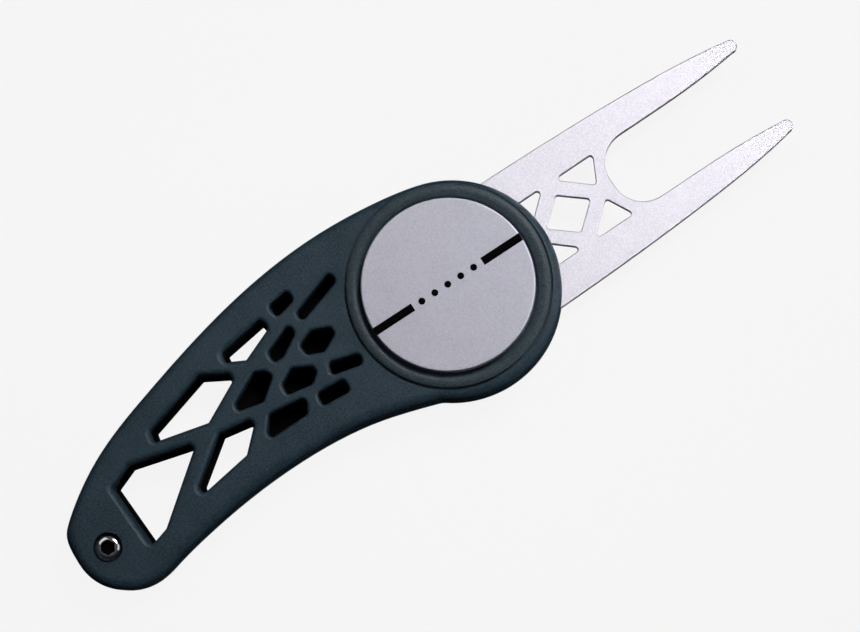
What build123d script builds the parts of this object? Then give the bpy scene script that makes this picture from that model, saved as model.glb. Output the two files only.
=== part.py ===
from build123d import *
import os
from math import acos, cos, degrees, radians, sin, sqrt

# Folding divot repair tool, millimetres.
#
# The origin is on the pivot axis, on the flat back face that the tool rests on.
# +Z comes out of the front face, +X runs along the open fork and the handle
# reaches towards -X. The handle's back bulges towards +Y, and the fork folds
# into the slot along its hollow -Y edge.

# ---- handle -------------------------------------------------------------------
BODY_H = 7.8            # thickness of the handle
PART_Z = 3.2            # plane where the two covers meet
FLOOR_Z = 2.6           # the back cover's plate, under the liner
HEAD_R = 15.9           # outline of the round head
HEAD_Y = -0.5           # the head's outline stands a little low of the pivot
NECK_X = -10.0          # where the grip edge meets the round head
NECK_BLEND_R = 3.0
NECK_SHIFT = 0.49       # the neck's move along X for each millimetre that the outline is inset
BACK_ANGLE = 74.0       # where the bulging back leaves the round head
BACK = [(-3, 16.27), (-13, 17.0), (-30, 15.21), (-45, 11.44), (-58, 6.47), (-64.15, 2.2)]
TAIL_END_X = -65.95     # the handle's far end
TAIL_END_Y = -3.7
TAIL_R = 7.85           # round lower corner of the tail
GRIP = [(-54, -10.87), (-50, -10.08), (-34, -8.6), (-20, -9.85)]
GRIP_END_SLOPE = -0.34  # of the grip edge, where it meets the neck
EDGE_FILLET = 1.5       # rounding round the outside of both covers
LINER_EDGE = 1.3        # the liner stops this far inside the outline
LINER_PROUD = 0.55      # and stands this far into each window
WINDOW_CORNER_R = 0.7
WINDOW_LIP = 0.75       # rounding at the mouth of each see-through window
POCKET_CORNER_R = 0.7
POCKET_LIP = 0.5        # rounding at the mouth of each grip pocket
FIT = 0.05              # running and push fits, on the radius

# ---- fork ---------------------------------------------------------------------
FORK_T = 1.2            # thickness of the fork's sheet
FORK_Z = 3.5            # underside of the fork
FORK_Y = -0.6           # the blade stands a little low of the pivot, like the head's outline
TANG_R = 10.75          # round tang about the pivot
FORK_TIP_X = 54.2       # how far the tips reach
TINE_TIP_Y = 7.1        # the tips, each side of the middle
NOTCH_X = 28.0          # bottom of the gap between the tines
NOTCH_Y = 5.4           # half of that gap
NOTCH_CORNER_R = 4.8
LATTICE_X = 20.2        # middle of the fork's cut-outs
LATTICE_CORNER_R = 0.45
FORK_EDGE = 0.12        # broken edges of the sheet
CAVITY_TOP_Z = 5.0      # ceiling of the space that the fork folds into
CAVITY_R = 55.2         # the fork's tips sweep inside this radius
CAVITY_Y = 11.7         # wall beside the tang
FOLD_ANGLE = 178.0      # from open to folded

# ---- ball marker and the ring round it ---------------------------------------------
MARKER_R = 12.5
MARKER_Z = 7.6          # seat of the ball marker
MARKER_T = 1.9
MARKER_EDGE = 0.25      # its rounded rim
STRIPE_W = 1.2
STRIPE_TURN = -0.7      # the pattern is turned a little about the pivot, degrees
STRIPE_START_X = 5.9    # the stripe is broken either side of the middle
DOT_R = 0.5
DOT_PITCH = 2.2
INLAY_T = 0.12
RING_IN_R = 12.85
RING_OUT_R = 14.6
RING_CREST_R = 13.5     # the ring is crowned, through this point close to its crest
RING_Z = 8.4
RING_INNER_Z = 8.05     # where the crown meets the ring's inner wall
RING_OUTER_Z = 8.2      # and its outer wall
RING_GROOVE_W = 0.35    # narrow groove round the foot of the ring
RING_GROOVE_T = 0.3

# ---- pivot, magnet and stop ---------------------------------------------------------
SLEEVE_R = 2.5
PIVOT_SCREW_R = 1.2
PIVOT_SEAT_Z = 5.6      # the pivot screw's head bears here
PIVOT_HEAD_R = 3.6
PIVOT_HEAD_T = 0.8
PIVOT_HEAD_EDGE = 0.2
PIVOT_SOCKET_T = 0.6
PIVOT_SCREW_END_Z = 1.2
PIVOT_INSERT_R = 3.0
INSERT_Z = 0.8          # bottom of both threaded inserts
SOCKET = 2.0            # hexagon socket across its flats
CUP_R = 6.1
CUP_T = 1.15
CUP_FLOOR = 0.35
MAGNET_R = 5.5
WASHER_R = 4.9
WASHER_T = 0.3
STOP_R = 8.6            # stop pin, from the pivot
STOP_PIN_R = 0.85
STOP_ANGLE = 91.0       # where the stop pin stands
STOP_PIN_Z = (1.4, 5.9)
STOP_TRIM = 0.4         # the slot ends this many degrees short, so the pin always stops first
DETENT_R = 6.2          # detent ball and its groove, from the pivot
DETENT_ANGLE = 270.0    # where the ball stands, and where its groove starts
DETENT_BALL_R = 0.75
DETENT_BALL_Z = 3.05
GROOVE_W = 1.8
GROOVE_DEPTH = 0.4
TONGUE_L = 8.0          # spring tongue that carries the detent ball
TONGUE_W = 3.0
TONGUE_END = 1.8        # free end of the tongue, past the ball
TONGUE_SLIT = 0.4
TONGUE_RELIEF = 0.6     # room under the tongue

# ---- tail ---------------------------------------------------------------------
TAIL_X = -61.05         # tail screw
TAIL_Y = -3.9
TAIL_BORE_R = 2.15
TAIL_SEAT_Z = 6.6
TAIL_HEAD_R = 1.95
TAIL_HEAD_H = 1.15
TAIL_HEAD_SIDE = 0.6    # straight side of the button head
TAIL_SHOULDER = (1.6, 0.96)  # a point on its dome: radius, and height above the seat
TAIL_CROWN_R = 1.15     # flat top of the button head
TAIL_SOCKET_T = 0.9
TAIL_SCREW_R = 1.1
TAIL_SCREW_END_Z = 1.2
TAIL_INSERT_R = 1.9
DOWEL_R = 0.8
DOWEL_Z = (1.2, 5.6)
DOWELS = [(-60.6, 1.6), (-9.5, 13.6)]

# Openings through the handle, corner by corner, before the corners are rounded.
# The windows go right through. The pockets stop at the liner.
WINDOWS = [
    [(-55.9, -7.2), (-52.7, -6.3), (-42.4, 1.6), (-52.4, 4.4), (-56.25, 2.95)],
    [(-47.6, 4.95), (-39.5, 2.9), (-33.1, 6.1), (-33.1, 7.2), (-37.0, 9.5), (-47.2, 6.7)],
    [(-46.0, -5.25), (-37.4, -4.0), (-34.1, -0.9), (-34.3, 0.0), (-39.1, 0.9), (-45.6, -3.8)],
    [(-30.1, 7.4), (-24.8, 9.5), (-25.0, 11.3), (-32.5, 10.3), (-32.7, 8.8)],
]
POCKETS = [
    [(-35.0, 1.9), (-31.2, 1.0), (-28.0, 3.4), (-28.6, 4.6), (-30.1, 5.4), (-34.9, 3.1)],
    [(-26.9, 4.8), (-25.3, 4.8), (-22.0, 6.7), (-22.1, 8.4), (-26.9, 6.6)],
    [(-23.0, 10.0), (-19.5, 10.8), (-19.5, 12.6), (-23.1, 12.2)],
    [(-20.4, 7.4), (-12.8, 9.7), (-13.2, 11.3), (-20.3, 9.1)],
    [(-22.4, 3.2), (-20.0, 2.1), (-17.3, 3.4), (-17.3, 4.6), (-20.0, 5.8), (-22.4, 5.0)],
    [(-27.9, -0.1), (-23.9, -0.8), (-22.5, 0.3), (-22.5, 1.3), (-25.3, 2.9), (-27.7, 1.7)],
    [(-21.0, -1.3), (-16.3, -2.5), (-15.9, -0.9), (-20.4, 0.6)],
    [(-33.3, -4.0), (-26.9, -4.0), (-26.1, -2.6), (-26.1, -1.7), (-31.5, -0.8), (-33.2, -2.9)],
    [(-24.5, -4.3), (-19.9, -4.7), (-19.8, -2.6), (-24.2, -2.2)],
]

os.makedirs("parts", exist_ok=True)


def export(builder, name):
    """Label a finished piece and write it as its own file."""
    builder.part.label = name
    export_step(builder.part, f"parts/{name}.step")


# ---- outlines, each added to the sketch being built ------------------------------------
def inward(points, inset):
    """The inner points of a run, moved to the left of its direction of travel."""
    moved = []
    for before, here, after in zip(points, points[1:], points[2:]):
        along = (Vector(after) - Vector(before)).normalized()
        moved.append(Vector(here) + Vector(-along.Y, along.X) * inset)
    return moved


def body_outline(inset=0.0):
    """Both covers: the round head, the bulging back, the tail and the grip edge."""
    head_r = HEAD_R - inset
    neck_x = NECK_X + NECK_SHIFT * inset
    neck_angle = 360 - degrees(acos(neck_x / head_r))
    neck = (neck_x, HEAD_Y - sqrt(head_r**2 - neck_x**2))
    tail_low = (TAIL_END_X + TAIL_R, TAIL_END_Y - TAIL_R)
    with BuildLine() as outline:
        head = CenterArc((0, HEAD_Y), head_r, neck_angle, 360 - neck_angle + BACK_ANGLE)
        back = Spline(
            head @ 1, *inward([head @ 1, *BACK, (TAIL_END_X, TAIL_END_Y)], inset),
            (TAIL_END_X + inset, TAIL_END_Y), tangents=[head % 1, (0, -1)],
        )
        tail = JernArc(back @ 1, (0, -1), TAIL_R - inset, 90)
        Spline(
            tail @ 1, *inward([tail_low, *GRIP, neck], inset), head @ 0,
            tangents=[(1, 0), (1, GRIP_END_SLOPE)],
        )
    make_face(outline.edges())
    fillet(vertices().sort_by_distance(neck)[0], NECK_BLEND_R)


def opening(points, radius):
    """One opening with straight sides and rounded corners."""
    with BuildLine() as outline:
        FilletPolyline(*points, radius=radius, close=True)
    make_face(outline.edges())


def openings(outlines, radius):
    """A group of openings."""
    for points in outlines:
        opening(points, radius)


def fork_space():
    """The space between the covers, open along the grip edge and past the head."""
    past_x = 20
    past_y = -20
    tip_y = 7.2
    tip_x = -sqrt(CAVITY_R**2 - tip_y**2)
    low_x = -sqrt(CAVITY_R**2 - past_y**2)
    with BuildLine() as outline:
        wall = Line((past_x, CAVITY_Y), (-2, CAVITY_Y))
        roof = ThreePointArc(wall @ 1, (-30.4, 10.35), (tip_x, tip_y))
        end = ThreePointArc(roof @ 1, (-CAVITY_R, 0), (low_x, past_y))
        Polyline(end @ 1, (past_x, past_y), wall @ 0)
    make_face(outline.edges())


def fork_outline():
    """The fork without its holes: round tang, curved edges and two pointed tines."""
    notch_end_x = 34
    with BuildLine() as outline:
        outer = Spline(
            (0, TANG_R), (12, 10.75), (20, 10.6), (38, 9.8), (53.2, 8.05),
            tangents=[(1, 0), (1, -0.2)],
        )
        tip = ThreePointArc(outer @ 1, (FORK_TIP_X, TINE_TIP_Y), (53.0, 6.15))
        inner = Spline(
            tip @ 1, (45, 5.5), (notch_end_x, NOTCH_Y), tangents=[(-1, -0.12), (-1, 0)],
        )
        Polyline(inner @ 1, (NOTCH_X, NOTCH_Y), (NOTCH_X, 0), (0, 0), outer @ 0)
    make_face(outline.edges())
    mirror(about=Plane.XZ)
    with Locations((0, -FORK_Y)):
        Circle(TANG_R)
    for side in (1, -1):
        fillet(vertices().sort_by_distance((NOTCH_X, side * NOTCH_Y))[0], NOTCH_CORNER_R)


def lattice():
    """A diamond between four rounded triangles, with bars of one width between them."""
    half_x = 3.85
    half_y = 3.25
    inner_x = 1.0
    tip_x = 5.7
    tip_y = 1.2
    outer_x = 7.8
    far_y = 5.3
    diamond = [(LATTICE_X + half_x, 0), (LATTICE_X, half_y), (LATTICE_X - half_x, 0)]
    opening([*diamond, (LATTICE_X, -half_y)], LATTICE_CORNER_R)
    for along in (1, -1):
        for side in (1, -1):
            triangle = [(inner_x, far_y), (tip_x, tip_y), (outer_x, far_y)]
            corners = [(LATTICE_X + along * x, side * y) for x, y in triangle]
            opening(corners, LATTICE_CORNER_R)


def arc_slot(radius, width, start, sweep):
    """A slot along an arc about the pivot, with round ends."""
    with BuildLine() as middle:
        CenterArc((0, 0), radius, start, sweep)
    SlotArc(middle.edges()[0], width)


def inlay_pattern():
    """A broken stripe across the marker, with a row of plain dots in the break."""
    bar_length = MARKER_R - STRIPE_START_X
    dots = 5
    with Locations(Rotation(0, 0, STRIPE_TURN)):
        with GridLocations(2 * STRIPE_START_X + bar_length, 0, 2, 1):
            Rectangle(bar_length, STRIPE_W)
        with GridLocations(DOT_PITCH, 0, dots, 1):
            Circle(DOT_R)


# ---- operations on the part being built ------------------------------------------------
def disc(radius, low, high, centres=((0, 0),), mode=Mode.ADD):
    """Round bosses from one height to another."""
    with BuildSketch(Plane.XY.offset(low)) as face:
        with Locations(*centres):
            Circle(radius)
    extrude(face.sketch, amount=high - low, mode=mode)


def hole(radius, low, high, centres=((0, 0),)):
    """Round holes from one height to another."""
    disc(radius, low, high, centres, mode=Mode.SUBTRACT)


def hex_socket(top, depth, centre=(0, 0)):
    """A hexagon socket sunk from the top of a screw's head."""
    with BuildSketch(Plane.XY.offset(top - depth)) as face:
        with Locations(centre):
            RegularPolygon(SOCKET / 2, 6, major_radius=False)
    extrude(face.sketch, amount=depth, mode=Mode.SUBTRACT)


def soften_inner_rims(face, radius):
    """Round the mouths of the openings in a face that are still sharp."""
    rims = [edge for wire in face.inner_wires() for edge in wire.edges()]
    fillet(rims, radius)


def marker_blank():
    """The marker's plain disc with its rounded rims."""
    disc(MARKER_R, MARKER_Z, MARKER_Z + MARKER_T)
    fillet(edges().filter_by(GeomType.CIRCLE), MARKER_EDGE)


def about_pivot(radius, angle):
    """A place at a radius and an angle from the pivot."""
    return (radius * cos(radians(angle)), radius * sin(radians(angle)))


stop_centre = about_pivot(STOP_R, STOP_ANGLE)
detent_centre = about_pivot(DETENT_R, DETENT_ANGLE)
tail_centre = (TAIL_X, TAIL_Y)
tongue_x = TONGUE_L / 2 - TONGUE_END
marker_top = MARKER_Z + MARKER_T
fork_top = FORK_Z + FORK_T

# ---- front cover: windows, grip pockets, the raised ring and the marker's seat --------------
with BuildPart() as front_cover:
    with BuildSketch(Plane.XY.offset(PART_Z)):
        body_outline()
    extrude(amount=BODY_H - PART_Z)
    fillet(faces().sort_by(Axis.Z)[-1].outer_wire().edges(), EDGE_FILLET)
    with BuildSketch(Plane.XY.offset(PART_Z)):
        openings(WINDOWS, WINDOW_CORNER_R)
    extrude(amount=BODY_H, mode=Mode.SUBTRACT)
    soften_inner_rims(faces().sort_by(Axis.Z)[-1], WINDOW_LIP)
    with BuildSketch(Plane.XY.offset(PART_Z)):
        openings(POCKETS, POCKET_CORNER_R)
    extrude(amount=BODY_H, mode=Mode.SUBTRACT)
    soften_inner_rims(faces().sort_by(Axis.Z)[-1], POCKET_LIP)
    with BuildSketch(Plane.XZ):
        with BuildLine():
            crown = ThreePointArc(
                (RING_IN_R, RING_INNER_Z), (RING_CREST_R, RING_Z), (RING_OUT_R, RING_OUTER_Z),
            )
            ring_foot_z = BODY_H - EDGE_FILLET
            Polyline(crown @ 1, (RING_OUT_R, ring_foot_z), (RING_IN_R, ring_foot_z), crown @ 0)
        make_face()
    revolve(axis=Axis.Z)
    with BuildSketch(Plane.XY.offset(BODY_H - RING_GROOVE_T)):
        Circle(RING_OUT_R + RING_GROOVE_W)
        Circle(RING_OUT_R, mode=Mode.SUBTRACT)
    extrude(amount=RING_GROOVE_T, mode=Mode.SUBTRACT)
    hole(RING_IN_R, MARKER_Z, RING_Z)
    hole(CUP_R + FIT, PIVOT_SEAT_Z + PIVOT_HEAD_T, MARKER_Z)
    hole(PIVOT_HEAD_R + FIT, PIVOT_SEAT_Z, MARKER_Z)
    hole(PIVOT_SCREW_R + FIT, PART_Z, PIVOT_SEAT_Z)
    with BuildSketch(Plane.XY.offset(PART_Z)):
        fork_space()
    extrude(amount=CAVITY_TOP_Z - PART_Z, mode=Mode.SUBTRACT)
    hole(TAIL_BORE_R, TAIL_SEAT_Z, BODY_H, [tail_centre])
    hole(TAIL_SCREW_R + FIT, PART_Z, TAIL_SEAT_Z, [tail_centre])
    hole(DOWEL_R + FIT, PART_Z, DOWEL_Z[1] + FIT, DOWELS)
    hole(STOP_PIN_R + FIT, PART_Z, STOP_PIN_Z[1] + FIT, [stop_centre])

export(front_cover, "front_cover")

# ---- back cover: the same openings, a bed for the liner and the screw inserts ----------------
with BuildPart() as back_cover:
    with BuildSketch():
        body_outline()
    extrude(amount=PART_Z)
    fillet(faces().sort_by(Axis.Z)[0].outer_wire().edges(), EDGE_FILLET)
    with BuildSketch(Plane.XY.offset(FLOOR_Z)):
        body_outline(LINER_EDGE - FIT)
    extrude(amount=PART_Z - FLOOR_Z, mode=Mode.SUBTRACT)
    with BuildSketch():
        openings(WINDOWS, WINDOW_CORNER_R)
    extrude(amount=PART_Z, mode=Mode.SUBTRACT)
    soften_inner_rims(faces().sort_by(Axis.Z)[0], WINDOW_LIP)
    with BuildSketch():
        openings(POCKETS, POCKET_CORNER_R)
    extrude(amount=PART_Z, mode=Mode.SUBTRACT)
    soften_inner_rims(faces().sort_by(Axis.Z)[0], POCKET_LIP)
    hole(PIVOT_INSERT_R + FIT, INSERT_Z, FLOOR_Z)
    hole(TAIL_INSERT_R + FIT, INSERT_Z, PART_Z, [tail_centre])
    hole(DOWEL_R + FIT, DOWEL_Z[0] - FIT, PART_Z, DOWELS)
    hole(STOP_PIN_R + FIT, STOP_PIN_Z[0] - FIT, PART_Z, [stop_centre])
    with BuildSketch(Plane.XY.offset(FLOOR_Z - TONGUE_RELIEF)):
        with Locations((tongue_x, -DETENT_R)):
            Rectangle(TONGUE_L, TONGUE_W + 2 * TONGUE_SLIT)
    extrude(amount=TONGUE_RELIEF, mode=Mode.SUBTRACT)

export(back_cover, "back_cover")

# ---- liner: a blackened spring-steel plate with the detent's spring tongue --------------------
with BuildPart() as back_liner:
    with BuildSketch(Plane.XY.offset(FLOOR_Z)):
        body_outline(LINER_EDGE)
        with BuildSketch(mode=Mode.SUBTRACT):
            openings(WINDOWS, WINDOW_CORNER_R)
            offset(amount=-LINER_PROUD)
        Circle(SLEEVE_R + FIT, mode=Mode.SUBTRACT)
        with Locations(tail_centre):
            Circle(TAIL_INSERT_R + FIT, mode=Mode.SUBTRACT)
        with Locations(*DOWELS):
            Circle(DOWEL_R + FIT, mode=Mode.SUBTRACT)
        with Locations(stop_centre):
            Circle(STOP_PIN_R + FIT, mode=Mode.SUBTRACT)
        with Locations(detent_centre):
            Circle(DETENT_BALL_R + FIT, mode=Mode.SUBTRACT)
        slit_y = (TONGUE_W + TONGUE_SLIT) / 2
        with Locations((tongue_x, slit_y - DETENT_R), (tongue_x, -slit_y - DETENT_R)):
            Rectangle(TONGUE_L, TONGUE_SLIT, mode=Mode.SUBTRACT)
        with Locations((-TONGUE_END, -DETENT_R)):
            Rectangle(TONGUE_SLIT, TONGUE_W + 2 * TONGUE_SLIT, mode=Mode.SUBTRACT)
    extrude(amount=PART_Z - FLOOR_Z)

export(back_liner, "back_liner")

# ---- fork: one sheet, turning on the pivot sleeve -----------------------------------------
with BuildPart() as fork:
    with BuildSketch(Plane((0, FORK_Y, FORK_Z))):
        fork_outline()
        with BuildSketch(mode=Mode.SUBTRACT):
            lattice()
    extrude(amount=FORK_T)
    for sheet_face in (faces().sort_by(Axis.Z)[-1], faces().sort_by(Axis.Z)[0]):
        chamfer(sheet_face.edges(), FORK_EDGE)
    with BuildSketch(Plane.XY.offset(FORK_Z)):
        Circle(SLEEVE_R + FIT)
        slot_w = 2 * (STOP_PIN_R + 2 * FIT)
        arc_slot(STOP_R, slot_w, STOP_ANGLE + STOP_TRIM, FOLD_ANGLE - 2 * STOP_TRIM)
    extrude(amount=FORK_T, mode=Mode.SUBTRACT)
    with BuildSketch(Plane.XY.offset(FORK_Z)):
        arc_slot(DETENT_R, GROOVE_W, DETENT_ANGLE, FOLD_ANGLE)
    extrude(amount=GROOVE_DEPTH, mode=Mode.SUBTRACT)

export(fork, "fork")

# ---- pivot: sleeve, screw, insert and two washers ----------------------------------------
with BuildPart() as pivot_sleeve:
    disc(SLEEVE_R, FLOOR_Z, CAVITY_TOP_Z)
    hole(PIVOT_SCREW_R + FIT, FLOOR_Z, CAVITY_TOP_Z)

export(pivot_sleeve, "pivot_sleeve")

with BuildPart() as pivot_screw:
    disc(PIVOT_HEAD_R, PIVOT_SEAT_Z, PIVOT_SEAT_Z + PIVOT_HEAD_T - FIT)
    chamfer(edges().sort_by(Axis.Z)[-1], PIVOT_HEAD_EDGE)
    disc(PIVOT_SCREW_R, PIVOT_SCREW_END_Z, PIVOT_SEAT_Z)
    hex_socket(PIVOT_SEAT_Z + PIVOT_HEAD_T, PIVOT_SOCKET_T)

export(pivot_screw, "pivot_screw")

with BuildPart() as pivot_insert:
    disc(PIVOT_INSERT_R, INSERT_Z, FLOOR_Z)
    hole(PIVOT_SCREW_R + FIT, INSERT_Z, FLOOR_Z)

export(pivot_insert, "pivot_insert")

with BuildPart() as back_washer:
    disc(WASHER_R, PART_Z, PART_Z + WASHER_T)
    hole(SLEEVE_R + FIT, PART_Z, PART_Z + WASHER_T)

export(back_washer, "back_washer")

with BuildPart() as front_washer:
    disc(WASHER_R, fork_top, fork_top + WASHER_T)
    hole(SLEEVE_R + FIT, fork_top, fork_top + WASHER_T)

export(front_washer, "front_washer")

# ---- stop pin, detent ball and the covers' dowels -------------------------------------------
with BuildPart() as stop_pin:
    disc(STOP_PIN_R, *STOP_PIN_Z, [stop_centre])

export(stop_pin, "stop_pin")

with BuildPart() as detent_ball:
    with Locations((*detent_centre, DETENT_BALL_Z)):
        Sphere(DETENT_BALL_R)

export(detent_ball, "detent_ball")

with BuildPart() as dowel_pins:
    disc(DOWEL_R, *DOWEL_Z, DOWELS)

export(dowel_pins, "dowel_pins")

# ---- magnet under the marker, in its steel cup ----------------------------------------------
cup_z = PIVOT_SEAT_Z + PIVOT_HEAD_T
with BuildPart() as magnet_cup:
    disc(CUP_R, cup_z, cup_z + CUP_T)
    hole(MAGNET_R + FIT, cup_z + CUP_FLOOR, cup_z + CUP_T)

export(magnet_cup, "magnet_cup")

with BuildPart() as marker_magnet:
    disc(MAGNET_R, cup_z + CUP_FLOOR, cup_z + CUP_T)

export(marker_magnet, "marker_magnet")

# ---- ball marker and its black inlay ----------------------------------------------------
with BuildPart() as ball_marker:
    marker_blank()
    with BuildSketch(Plane.XY.offset(marker_top - INLAY_T)):
        inlay_pattern()
    extrude(amount=INLAY_T, mode=Mode.SUBTRACT)

export(ball_marker, "ball_marker")

with BuildPart() as marker_inlay:
    marker_blank()
    with BuildSketch(Plane.XY.offset(marker_top - INLAY_T)):
        inlay_pattern()
    extrude(amount=INLAY_T, mode=Mode.INTERSECT)

export(marker_inlay, "marker_inlay")

# ---- tail screw and its insert ----------------------------------------------------------
with BuildPart() as tail_screw:
    side_z = TAIL_SEAT_Z + TAIL_HEAD_SIDE
    side_x = TAIL_X + TAIL_HEAD_R
    crown_x = TAIL_X + TAIL_CROWN_R
    shoulder = (TAIL_X + TAIL_SHOULDER[0], TAIL_SEAT_Z + TAIL_SHOULDER[1])
    crown_z = TAIL_SEAT_Z + TAIL_HEAD_H
    with BuildSketch(Plane.XZ.offset(-TAIL_Y)) as profile:
        with BuildLine():
            Polyline((TAIL_X, TAIL_SEAT_Z), (side_x, TAIL_SEAT_Z), (side_x, side_z))
            ThreePointArc((side_x, side_z), shoulder, (crown_x, crown_z))
            Polyline((crown_x, crown_z), (TAIL_X, crown_z), (TAIL_X, TAIL_SEAT_Z))
        make_face()
    revolve(axis=Axis((TAIL_X, TAIL_Y, 0), (0, 0, 1)))
    disc(TAIL_SCREW_R, TAIL_SCREW_END_Z, TAIL_SEAT_Z, [tail_centre])
    hex_socket(crown_z, TAIL_SOCKET_T, tail_centre)

export(tail_screw, "tail_screw")

with BuildPart() as tail_insert:
    disc(TAIL_INSERT_R, INSERT_Z, PART_Z, [tail_centre])
    hole(TAIL_SCREW_R + FIT, INSERT_Z, PART_Z, [tail_centre])

export(tail_insert, "tail_insert")
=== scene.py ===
import math

import bpy
from mathutils import Matrix, Vector


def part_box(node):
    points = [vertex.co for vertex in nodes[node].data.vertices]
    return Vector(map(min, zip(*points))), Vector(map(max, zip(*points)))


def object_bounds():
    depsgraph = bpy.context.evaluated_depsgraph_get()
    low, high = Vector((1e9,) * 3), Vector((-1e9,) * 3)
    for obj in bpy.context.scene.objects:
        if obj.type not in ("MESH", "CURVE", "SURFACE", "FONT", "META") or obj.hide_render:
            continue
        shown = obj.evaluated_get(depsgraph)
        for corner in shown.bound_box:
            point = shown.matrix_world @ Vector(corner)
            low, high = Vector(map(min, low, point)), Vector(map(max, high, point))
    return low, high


# Folding divot repair tool: materials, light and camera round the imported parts.
# Lengths are in metres. +X runs along the open fork, +Z comes out of the front face.

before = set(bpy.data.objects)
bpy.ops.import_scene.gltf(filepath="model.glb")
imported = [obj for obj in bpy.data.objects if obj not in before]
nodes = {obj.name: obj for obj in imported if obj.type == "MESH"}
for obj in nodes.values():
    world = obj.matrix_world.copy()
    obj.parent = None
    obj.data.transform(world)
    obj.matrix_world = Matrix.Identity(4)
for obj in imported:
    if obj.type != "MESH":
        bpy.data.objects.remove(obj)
cad_low, cad_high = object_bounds()

# ---- camera ----------------------------------------------------------------------
CAMERA_AT = (-0.00963, -0.05144, 0.38592)
CAMERA_AIM = (-0.00462, -0.00236, 0.0095)
CAMERA_UP_ANGLE = 56.25              # the picture's upright, from +X towards +Y, degrees
CAMERA_LENS = 111.87                 # mm
CAMERA_SENSOR = 36.0                 # mm
CAMERA_NEAR = 0.01
CAMERA_FAR = 10.0

# ---- places on the object --------------------------------------------------------
FACE_HEIGHT = 0.0078                 # the front face, below the ring
screw_low, screw_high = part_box("tail_screw")
screw_axis = ((screw_low.x + screw_high.x) / 2, (screw_low.y + screw_high.y) / 2)
screw_top = screw_high.z

# ---- light, with powers in watts and beams in degrees ----------------------------
SKY_STRENGTH = 0.13
SKY_BRIGHT = (0.74, 0.74, 0.79)
SKY_DIM = (0.05, 0.05, 0.06)
SKY_FACING = (0.25, 0.40, 0.88)      # where the soft dome is brightest
SKY_FADE = (0.15, 0.95)              # cosines of the angle from there, from dim to bright
KEY_AT = (0.19, 0.07, 0.22)          # from the fork's side, in a beam that fades at the tail
KEY_AIM = (0.02, 0.012, 0)
KEY_SIZE = 0.18
KEY_BEAM = 29
KEY_POWER = 0.088
RIM_AT = (0.24, -0.22, 0.095)        # low, along the grip edge
RIM_AIM = (-0.052, -0.012, 0.004)
RIM_SIZE = 0.18
RIM_BEAM = 24
RIM_POWER = 0.03
GLOSS_AT = (-0.12, 0.24, 0.27)       # broad, for the polished tail screw to reflect
GLOSS_SIZE = 0.24
GLOSS_POWER = 0.13
SPARK_AT = (0.22, -0.17, 0.24)       # a second reflection, on the screw's other side
SPARK_SIZE = 0.22
SPARK_POWER = 0.11
OPEN_BEAM = 180

# ---- floor -----------------------------------------------------------------------
FLOOR_SIZE = 6.0
FLOOR_GAP = 0.00005                  # the floor lies just under the back face
FLOOR_COLOUR = (0.04, 0.04, 0.04)
FLOOR_GLOW = 0.885                   # the floor gives off most of its light itself
FLOOR_ROUGHNESS = 0.9

# ---- finishes: colours in linear light -------------------------------------------
COVER_DARK = (0.0066, 0.0168, 0.0262)
COVER_LIGHT = (0.0255, 0.0465, 0.0640)
RING_DARK = (0.013, 0.0245, 0.033)   # the raised ring, where hands rub it
RING_LIGHT = (0.042, 0.062, 0.073)
FLECK = (0.085, 0.105, 0.12)         # pale specks in the paint
FORK_GREY = (0.72, 0.70, 0.765)
FORK_PALE = (0.885, 0.858, 0.935)
MARKER_GREY = (0.445, 0.44, 0.50)
MARKER_PALE = (0.575, 0.57, 0.645)
CHROME_GREY = (0.66, 0.65, 0.66)
CHROME_PALE = (0.80, 0.79, 0.80)
# near-black finish of the liner and enamel, and also painted shade down in the tail screw's hexagon
# socket
BLACK_DEEP_AND_SOCKET_SHADE = (0.001, 0.001, 0.0013)
BLACK_WORN_AND_SOCKET_SHADE = (0.003, 0.003, 0.0035)

# ---- finishes: sizes of the grain ------------------------------------------------
PEBBLE_SIZE = 0.00030                # the paint's fine pebble
PEBBLE_DEPTH = 0.000055
FLECK_SIZE = 0.00028                 # the paint's pale specks
RUB_SIZE = 0.00016                   # the finer mottle on the rubbed ring
PAINT_CLOUD = 0.007                  # slow changes of the paint's colour
METAL_CLOUD = 0.005                  # slow changes of the blasted metal's colour
STREAK_SIZE = 0.0004                 # the turned hardware's streaks
STREAK_DEPTH = 0.000004
POLISH_SIZE = 0.0009                 # faint clouding of the polished head
BLACK_DEPTH = 0.000008               # relief of the black finishes
RING_FOOT = (0.00028, 0.00042)       # above the face, where paint fades to rubbed paint
SOCKET_EDGE = (0.00112, 0.00122)     # from the screw's axis, where painted shade in the socket fades to polish
SOCKET_RIM = (0.00008, 0.00002)      # below the screw's top, where painted shade in the socket fades to polish


# ---- node helpers ----------------------------------------------------------------
def new_material(name):
    """A material with an empty tree, its shader and its output."""
    material = bpy.data.materials.new(name)
    material.use_nodes = True
    tree = material.node_tree
    tree.nodes.clear()
    shader = tree.nodes.new("ShaderNodeBsdfPrincipled")
    output = tree.nodes.new("ShaderNodeOutputMaterial")
    tree.links.new(shader.outputs["BSDF"], output.inputs["Surface"])
    return material, tree, shader


def place(tree):
    """Coordinates fixed to the piece, in metres."""
    return tree.nodes.new("ShaderNodeTexCoord").outputs["Object"]


def noise(tree, size, detail, stretch=(1, 1, 1)):
    """Noise whose blotches are about size metres across."""
    mapping = tree.nodes.new("ShaderNodeMapping")
    mapping.inputs["Scale"].default_value = [s / size for s in stretch]
    tree.links.new(place(tree), mapping.inputs["Vector"])
    texture = tree.nodes.new("ShaderNodeTexNoise")
    texture.inputs["Scale"].default_value = 1.0
    texture.inputs["Detail"].default_value = detail
    tree.links.new(mapping.outputs["Vector"], texture.inputs["Vector"])
    return texture.outputs["Fac"]


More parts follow.
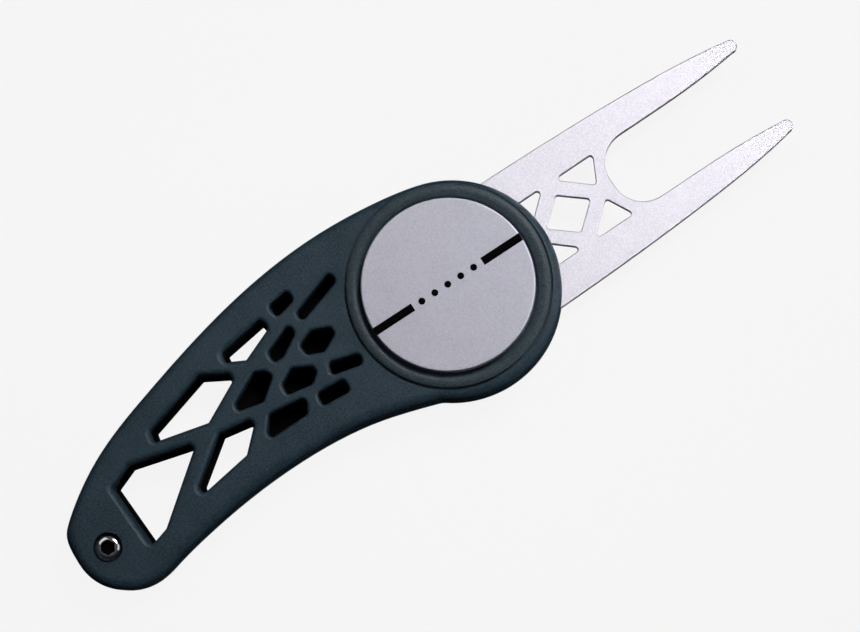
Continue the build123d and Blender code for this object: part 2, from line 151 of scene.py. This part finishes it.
def spread(tree, value, low, high, from_low=0.35, from_high=0.65):
    """Map a value to a range, and hold it at the range's ends."""
    rerange = tree.nodes.new("ShaderNodeMapRange")
    rerange.inputs["From Min"].default_value = from_low
    rerange.inputs["From Max"].default_value = from_high
    rerange.inputs["To Min"].default_value = low
    rerange.inputs["To Max"].default_value = high
    tree.links.new(value, rerange.inputs["Value"])
    return rerange.outputs["Result"]


def blend_colours(tree, share, dark, light):
    """A colour between two, by a share from 0 to 1."""
    mix = tree.nodes.new("ShaderNodeMix")
    mix.data_type = "RGBA"
    mix.inputs["A"].default_value = (*dark, 1)
    mix.inputs["B"].default_value = (*light, 1)
    tree.links.new(share, mix.inputs["Factor"])
    return mix.outputs["Result"]


def average(tree, first, second, share):
    """Two values mixed, with a fixed share of the second."""
    mix = tree.nodes.new("ShaderNodeMix")
    mix.inputs["Factor"].default_value = share
    tree.links.new(first, mix.inputs["A"])
    tree.links.new(second, mix.inputs["B"])
    return mix.outputs["Result"]


def bump(tree, shader, height, depth, strength):
    """Relief of a given depth in metres."""
    relief = tree.nodes.new("ShaderNodeBump")
    relief.inputs["Distance"].default_value = depth
    relief.inputs["Strength"].default_value = strength
    tree.links.new(height, relief.inputs["Height"])
    tree.links.new(relief.outputs["Normal"], shader.inputs["Normal"])


def fade_by_height(tree, low, high):
    """A value that rises from 0 to 1 between two heights in metres."""
    split = tree.nodes.new("ShaderNodeSeparateXYZ")
    tree.links.new(place(tree), split.inputs["Vector"])
    return spread(tree, split.outputs["Z"], 0, 1, low, high)


def fade_from_axis(tree, centre, inner, outer):
    """A value that rises from 0 to 1 between two distances in metres from an upright axis."""
    flat = tree.nodes.new("ShaderNodeVectorMath")
    flat.operation = "MULTIPLY"
    flat.inputs[1].default_value = (1, 1, 0)
    tree.links.new(place(tree), flat.inputs[0])
    distance = tree.nodes.new("ShaderNodeVectorMath")
    distance.operation = "DISTANCE"
    distance.inputs[1].default_value = (*centre, 0)
    tree.links.new(flat.outputs["Vector"], distance.inputs[0])
    return spread(tree, distance.outputs["Value"], 0, 1, inner, outer)


def larger(tree, first, second):
    """The larger of two values."""
    pick = tree.nodes.new("ShaderNodeMath")
    pick.operation = "MAXIMUM"
    tree.links.new(first, pick.inputs[0])
    tree.links.new(second, pick.inputs[1])
    return pick.outputs["Value"]


def mix_over(tree, share, first, second):
    """A colour socket that fades into a second one, or into a fixed colour."""
    mix = tree.nodes.new("ShaderNodeMix")
    mix.data_type = "RGBA"
    tree.links.new(first, mix.inputs["A"])
    if isinstance(second, tuple):
        mix.inputs["B"].default_value = (*second, 1)
    else:
        tree.links.new(second, mix.inputs["B"])
    tree.links.new(share, mix.inputs["Factor"])
    return mix.outputs["Result"]


# ---- materials -------------------------------------------------------------------
def soft_touch():
    """Soft-touch paint over moulded plastic: flecked slate with a fine pebble, rubbed on the ring."""
    material, tree, shader = new_material("soft_touch_slate")
    grain = noise(tree, PEBBLE_SIZE, 4.0)
    cloud = noise(tree, PAINT_CLOUD, 3.0)
    share = average(tree, spread(tree, grain, 0, 1), spread(tree, cloud, 0, 1), 0.3)
    paint = blend_colours(tree, share, COVER_DARK, COVER_LIGHT)
    mottle = spread(tree, noise(tree, RUB_SIZE, 3.0), 0, 1)
    rubbed = blend_colours(tree, mottle, RING_DARK, RING_LIGHT)
    on_ring = fade_by_height(tree, FACE_HEIGHT + RING_FOOT[0], FACE_HEIGHT + RING_FOOT[1])
    colour = mix_over(tree, on_ring, paint, rubbed)
    fleck = spread(tree, noise(tree, FLECK_SIZE, 1.0), 0, 0.6, from_low=0.66, from_high=0.84)
    tree.links.new(mix_over(tree, fleck, colour, FLECK), shader.inputs["Base Color"])
    tree.links.new(spread(tree, grain, 0.42, 0.60), shader.inputs["Roughness"])
    shader.inputs["Specular IOR Level"].default_value = 0.26
    bump(tree, shader, grain, PEBBLE_DEPTH, 0.7)
    return material


def blasted_metal(name, dark, light, rough, grain_size, depth):
    """Bead-blasted metal: even satin with fine pits."""
    material, tree, shader = new_material(name)
    grain = noise(tree, grain_size, 5.0)
    cloud = noise(tree, METAL_CLOUD, 2.0)
    share = average(tree, spread(tree, grain, 0, 1), spread(tree, cloud, 0, 1), 0.12)
    tree.links.new(blend_colours(tree, share, dark, light), shader.inputs["Base Color"])
    tree.links.new(spread(tree, grain, rough - 0.06, rough + 0.08), shader.inputs["Roughness"])
    shader.inputs["Metallic"].default_value = 1.0
    bump(tree, shader, grain, depth, 0.5)
    return material


def turned_metal(name, dark, light, rough):
    """Plain turned hardware, with soft streaks across its axis."""
    material, tree, shader = new_material(name)
    streak = noise(tree, STREAK_SIZE, 4.0, stretch=(1, 1, 6))
    colour = blend_colours(tree, spread(tree, streak, 0, 1), dark, light)
    tree.links.new(colour, shader.inputs["Base Color"])
    tree.links.new(spread(tree, streak, rough - 0.05, rough + 0.07), shader.inputs["Roughness"])
    shader.inputs["Metallic"].default_value = 1.0
    bump(tree, shader, streak, STREAK_DEPTH, 0.4)
    return material


def button_head_chrome():
    """Polished dome, with painted shade that colours its hexagon socket and the shank below near
    black.
    """
    material, tree, shader = new_material("polished_button_head")
    # painted shade: within SOCKET_EDGE of the axis and below SOCKET_RIM, the polish gives way to a
    # dull near-black colour
    clear_of_socket_shade = larger(
        tree,
        fade_from_axis(tree, screw_axis, *SOCKET_EDGE),
        fade_by_height(tree, screw_top - SOCKET_RIM[0], screw_top - SOCKET_RIM[1]),
    )
    polish = noise(tree, POLISH_SIZE, 2.0)
    bright = blend_colours(tree, spread(tree, polish, 0, 1), CHROME_GREY, CHROME_PALE)
    socket_shade = blend_colours(tree, polish, BLACK_DEEP_AND_SOCKET_SHADE, BLACK_WORN_AND_SOCKET_SHADE)
    tree.links.new(mix_over(tree, clear_of_socket_shade, socket_shade, bright), shader.inputs["Base Color"])
    roughness = spread(tree, clear_of_socket_shade, 0.55, 0.07, from_low=0, from_high=1)
    tree.links.new(roughness, shader.inputs["Roughness"])
    tree.links.new(clear_of_socket_shade, shader.inputs["Metallic"])
    shader.inputs["Specular IOR Level"].default_value = 0.02
    return material


def black_finish(name, gloss, rough_low, rough_high, grain_size):
    """Blackened plate or enamel, with a faint uneven gloss."""
    material, tree, shader = new_material(name)
    grain = noise(tree, grain_size, 3.0)
    colour = blend_colours(tree, spread(tree, grain, 0, 1), BLACK_DEEP_AND_SOCKET_SHADE, BLACK_WORN_AND_SOCKET_SHADE)
    tree.links.new(colour, shader.inputs["Base Color"])
    tree.links.new(spread(tree, grain, rough_low, rough_high), shader.inputs["Roughness"])
    shader.inputs["Specular IOR Level"].default_value = gloss
    bump(tree, shader, grain, BLACK_DEPTH, 0.4)
    return material


cover_paint = soft_touch()
fork_steel = blasted_metal("blasted_fork_steel", FORK_GREY, FORK_PALE, 0.54, 0.00022, 0.000004)
marker_metal = blasted_metal("satin_marker_nickel", MARKER_GREY, MARKER_PALE, 0.55, 0.00020, 0.000005)
ball_steel = turned_metal("polished_ball_steel", (0.60, 0.59, 0.58), (0.72, 0.71, 0.70), 0.12)
plain_steel = turned_metal("plain_steel", (0.42, 0.42, 0.44), (0.52, 0.52, 0.54), 0.32)
brass = turned_metal("plain_brass", (0.62, 0.44, 0.20), (0.74, 0.56, 0.28), 0.30)
bronze = turned_metal("rolled_bronze", (0.50, 0.32, 0.17), (0.62, 0.42, 0.24), 0.36)
nickel = turned_metal("plated_nickel", (0.56, 0.56, 0.58), (0.66, 0.66, 0.68), 0.18)
liner_black = black_finish("blackened_liner", 0.02, 0.55, 0.75, 0.0003)
inlay_black = black_finish("black_enamel", 0.004, 0.38, 0.52, 0.0002)

FINISHES = {
    "front_cover": cover_paint, "back_cover": cover_paint, "back_liner": liner_black,
    "fork": fork_steel, "ball_marker": marker_metal, "marker_inlay": inlay_black,
    "tail_screw": button_head_chrome(), "detent_ball": ball_steel,
    "pivot_sleeve": plain_steel, "pivot_screw": plain_steel, "stop_pin": plain_steel,
    "dowel_pins": plain_steel, "magnet_cup": plain_steel,
    "pivot_insert": brass, "tail_insert": brass,
    "front_washer": bronze, "back_washer": bronze, "marker_magnet": nickel,
}
for name, finish in FINISHES.items():
    mesh = nodes[name].data
    mesh.materials.clear()
    mesh.materials.append(finish)


# ---- floor -----------------------------------------------------------------------
def make_floor():
    """A plain pale floor, seen by the camera and left out of the object's own lighting."""
    half = FLOOR_SIZE / 2
    height = cad_low.z - FLOOR_GAP
    corners = [(-half, -half), (half, -half), (half, half), (-half, half)]
    mesh = bpy.data.meshes.new("floor")
    mesh.from_pydata([(x, y, height) for x, y in corners], [], [(0, 1, 2, 3)])
    floor = bpy.data.objects.new("floor", mesh)
    bpy.context.scene.collection.objects.link(floor)
    material, _, shader = new_material("pale_floor")
    shader.inputs["Base Color"].default_value = (*FLOOR_COLOUR, 1)
    shader.inputs["Roughness"].default_value = FLOOR_ROUGHNESS
    shader.inputs["Specular IOR Level"].default_value = 0.0
    shader.inputs["Emission Color"].default_value = (1, 1, 1, 1)
    shader.inputs["Emission Strength"].default_value = FLOOR_GLOW
    mesh.materials.append(material)
    floor.visible_diffuse = False
    floor.visible_glossy = False


make_floor()


# ---- lights ----------------------------------------------------------------------
def softbox(name, at, aim, size, beam, power):
    """A square soft light pointed at a place."""
    data = bpy.data.lights.new(name, "AREA")
    data.shape = "SQUARE"
    data.size = size
    data.energy = power
    data.spread = math.radians(beam)
    light = bpy.data.objects.new(name, data)
    light.location = at
    light.rotation_mode = "QUATERNION"
    light.rotation_quaternion = (Vector(aim) - Vector(at)).to_track_quat("-Z", "Y")
    bpy.context.scene.collection.objects.link(light)


screw_head = (*screw_axis, screw_top)
softbox("key_light", KEY_AT, KEY_AIM, KEY_SIZE, KEY_BEAM, KEY_POWER)
softbox("rim_light", RIM_AT, RIM_AIM, RIM_SIZE, RIM_BEAM, RIM_POWER)
softbox("gloss_light", GLOSS_AT, screw_head, GLOSS_SIZE, OPEN_BEAM, GLOSS_POWER)
softbox("spark_light", SPARK_AT, screw_head, SPARK_SIZE, OPEN_BEAM, SPARK_POWER)


def make_sky():
    """A soft dome, brightest towards SKY_FACING and dim on the far side."""
    world = bpy.data.worlds.new("studio")
    world.use_nodes = True
    tree = world.node_tree
    facing = tree.nodes.new("ShaderNodeVectorMath")
    facing.operation = "DOT_PRODUCT"
    facing.inputs[1].default_value = Vector(SKY_FACING).normalized()
    tree.links.new(tree.nodes.new("ShaderNodeTexCoord").outputs["Generated"], facing.inputs[0])
    share = spread(tree, facing.outputs["Value"], 0, 1, *SKY_FADE)
    colour = blend_colours(tree, share, SKY_DIM, SKY_BRIGHT)
    background = tree.nodes["Background"]
    tree.links.new(colour, background.inputs["Color"])
    background.inputs["Strength"].default_value = SKY_STRENGTH
    bpy.context.scene.world = world


make_sky()
bpy.context.scene.view_settings.view_transform = "Standard"


# ---- camera ----------------------------------------------------------------------
def make_camera():
    """Looks down on the front face, with the fork towards the picture's upper right."""
    data = bpy.data.cameras.new("camera")
    data.sensor_width = CAMERA_SENSOR
    data.lens = CAMERA_LENS
    data.clip_start = CAMERA_NEAR
    data.clip_end = CAMERA_FAR
    camera = bpy.data.objects.new("camera", data)
    bpy.context.scene.collection.objects.link(camera)
    backward = (Vector(CAMERA_AT) - Vector(CAMERA_AIM)).normalized()
    angle = math.radians(CAMERA_UP_ANGLE)
    upright = Vector((math.cos(angle), math.sin(angle), 0))
    right = upright.cross(backward).normalized()
    upward = backward.cross(right)
    turn = Matrix((right, upward, backward)).transposed()
    camera.matrix_world = Matrix.Translation(CAMERA_AT) @ turn.to_4x4()
    bpy.context.scene.camera = camera


make_camera()
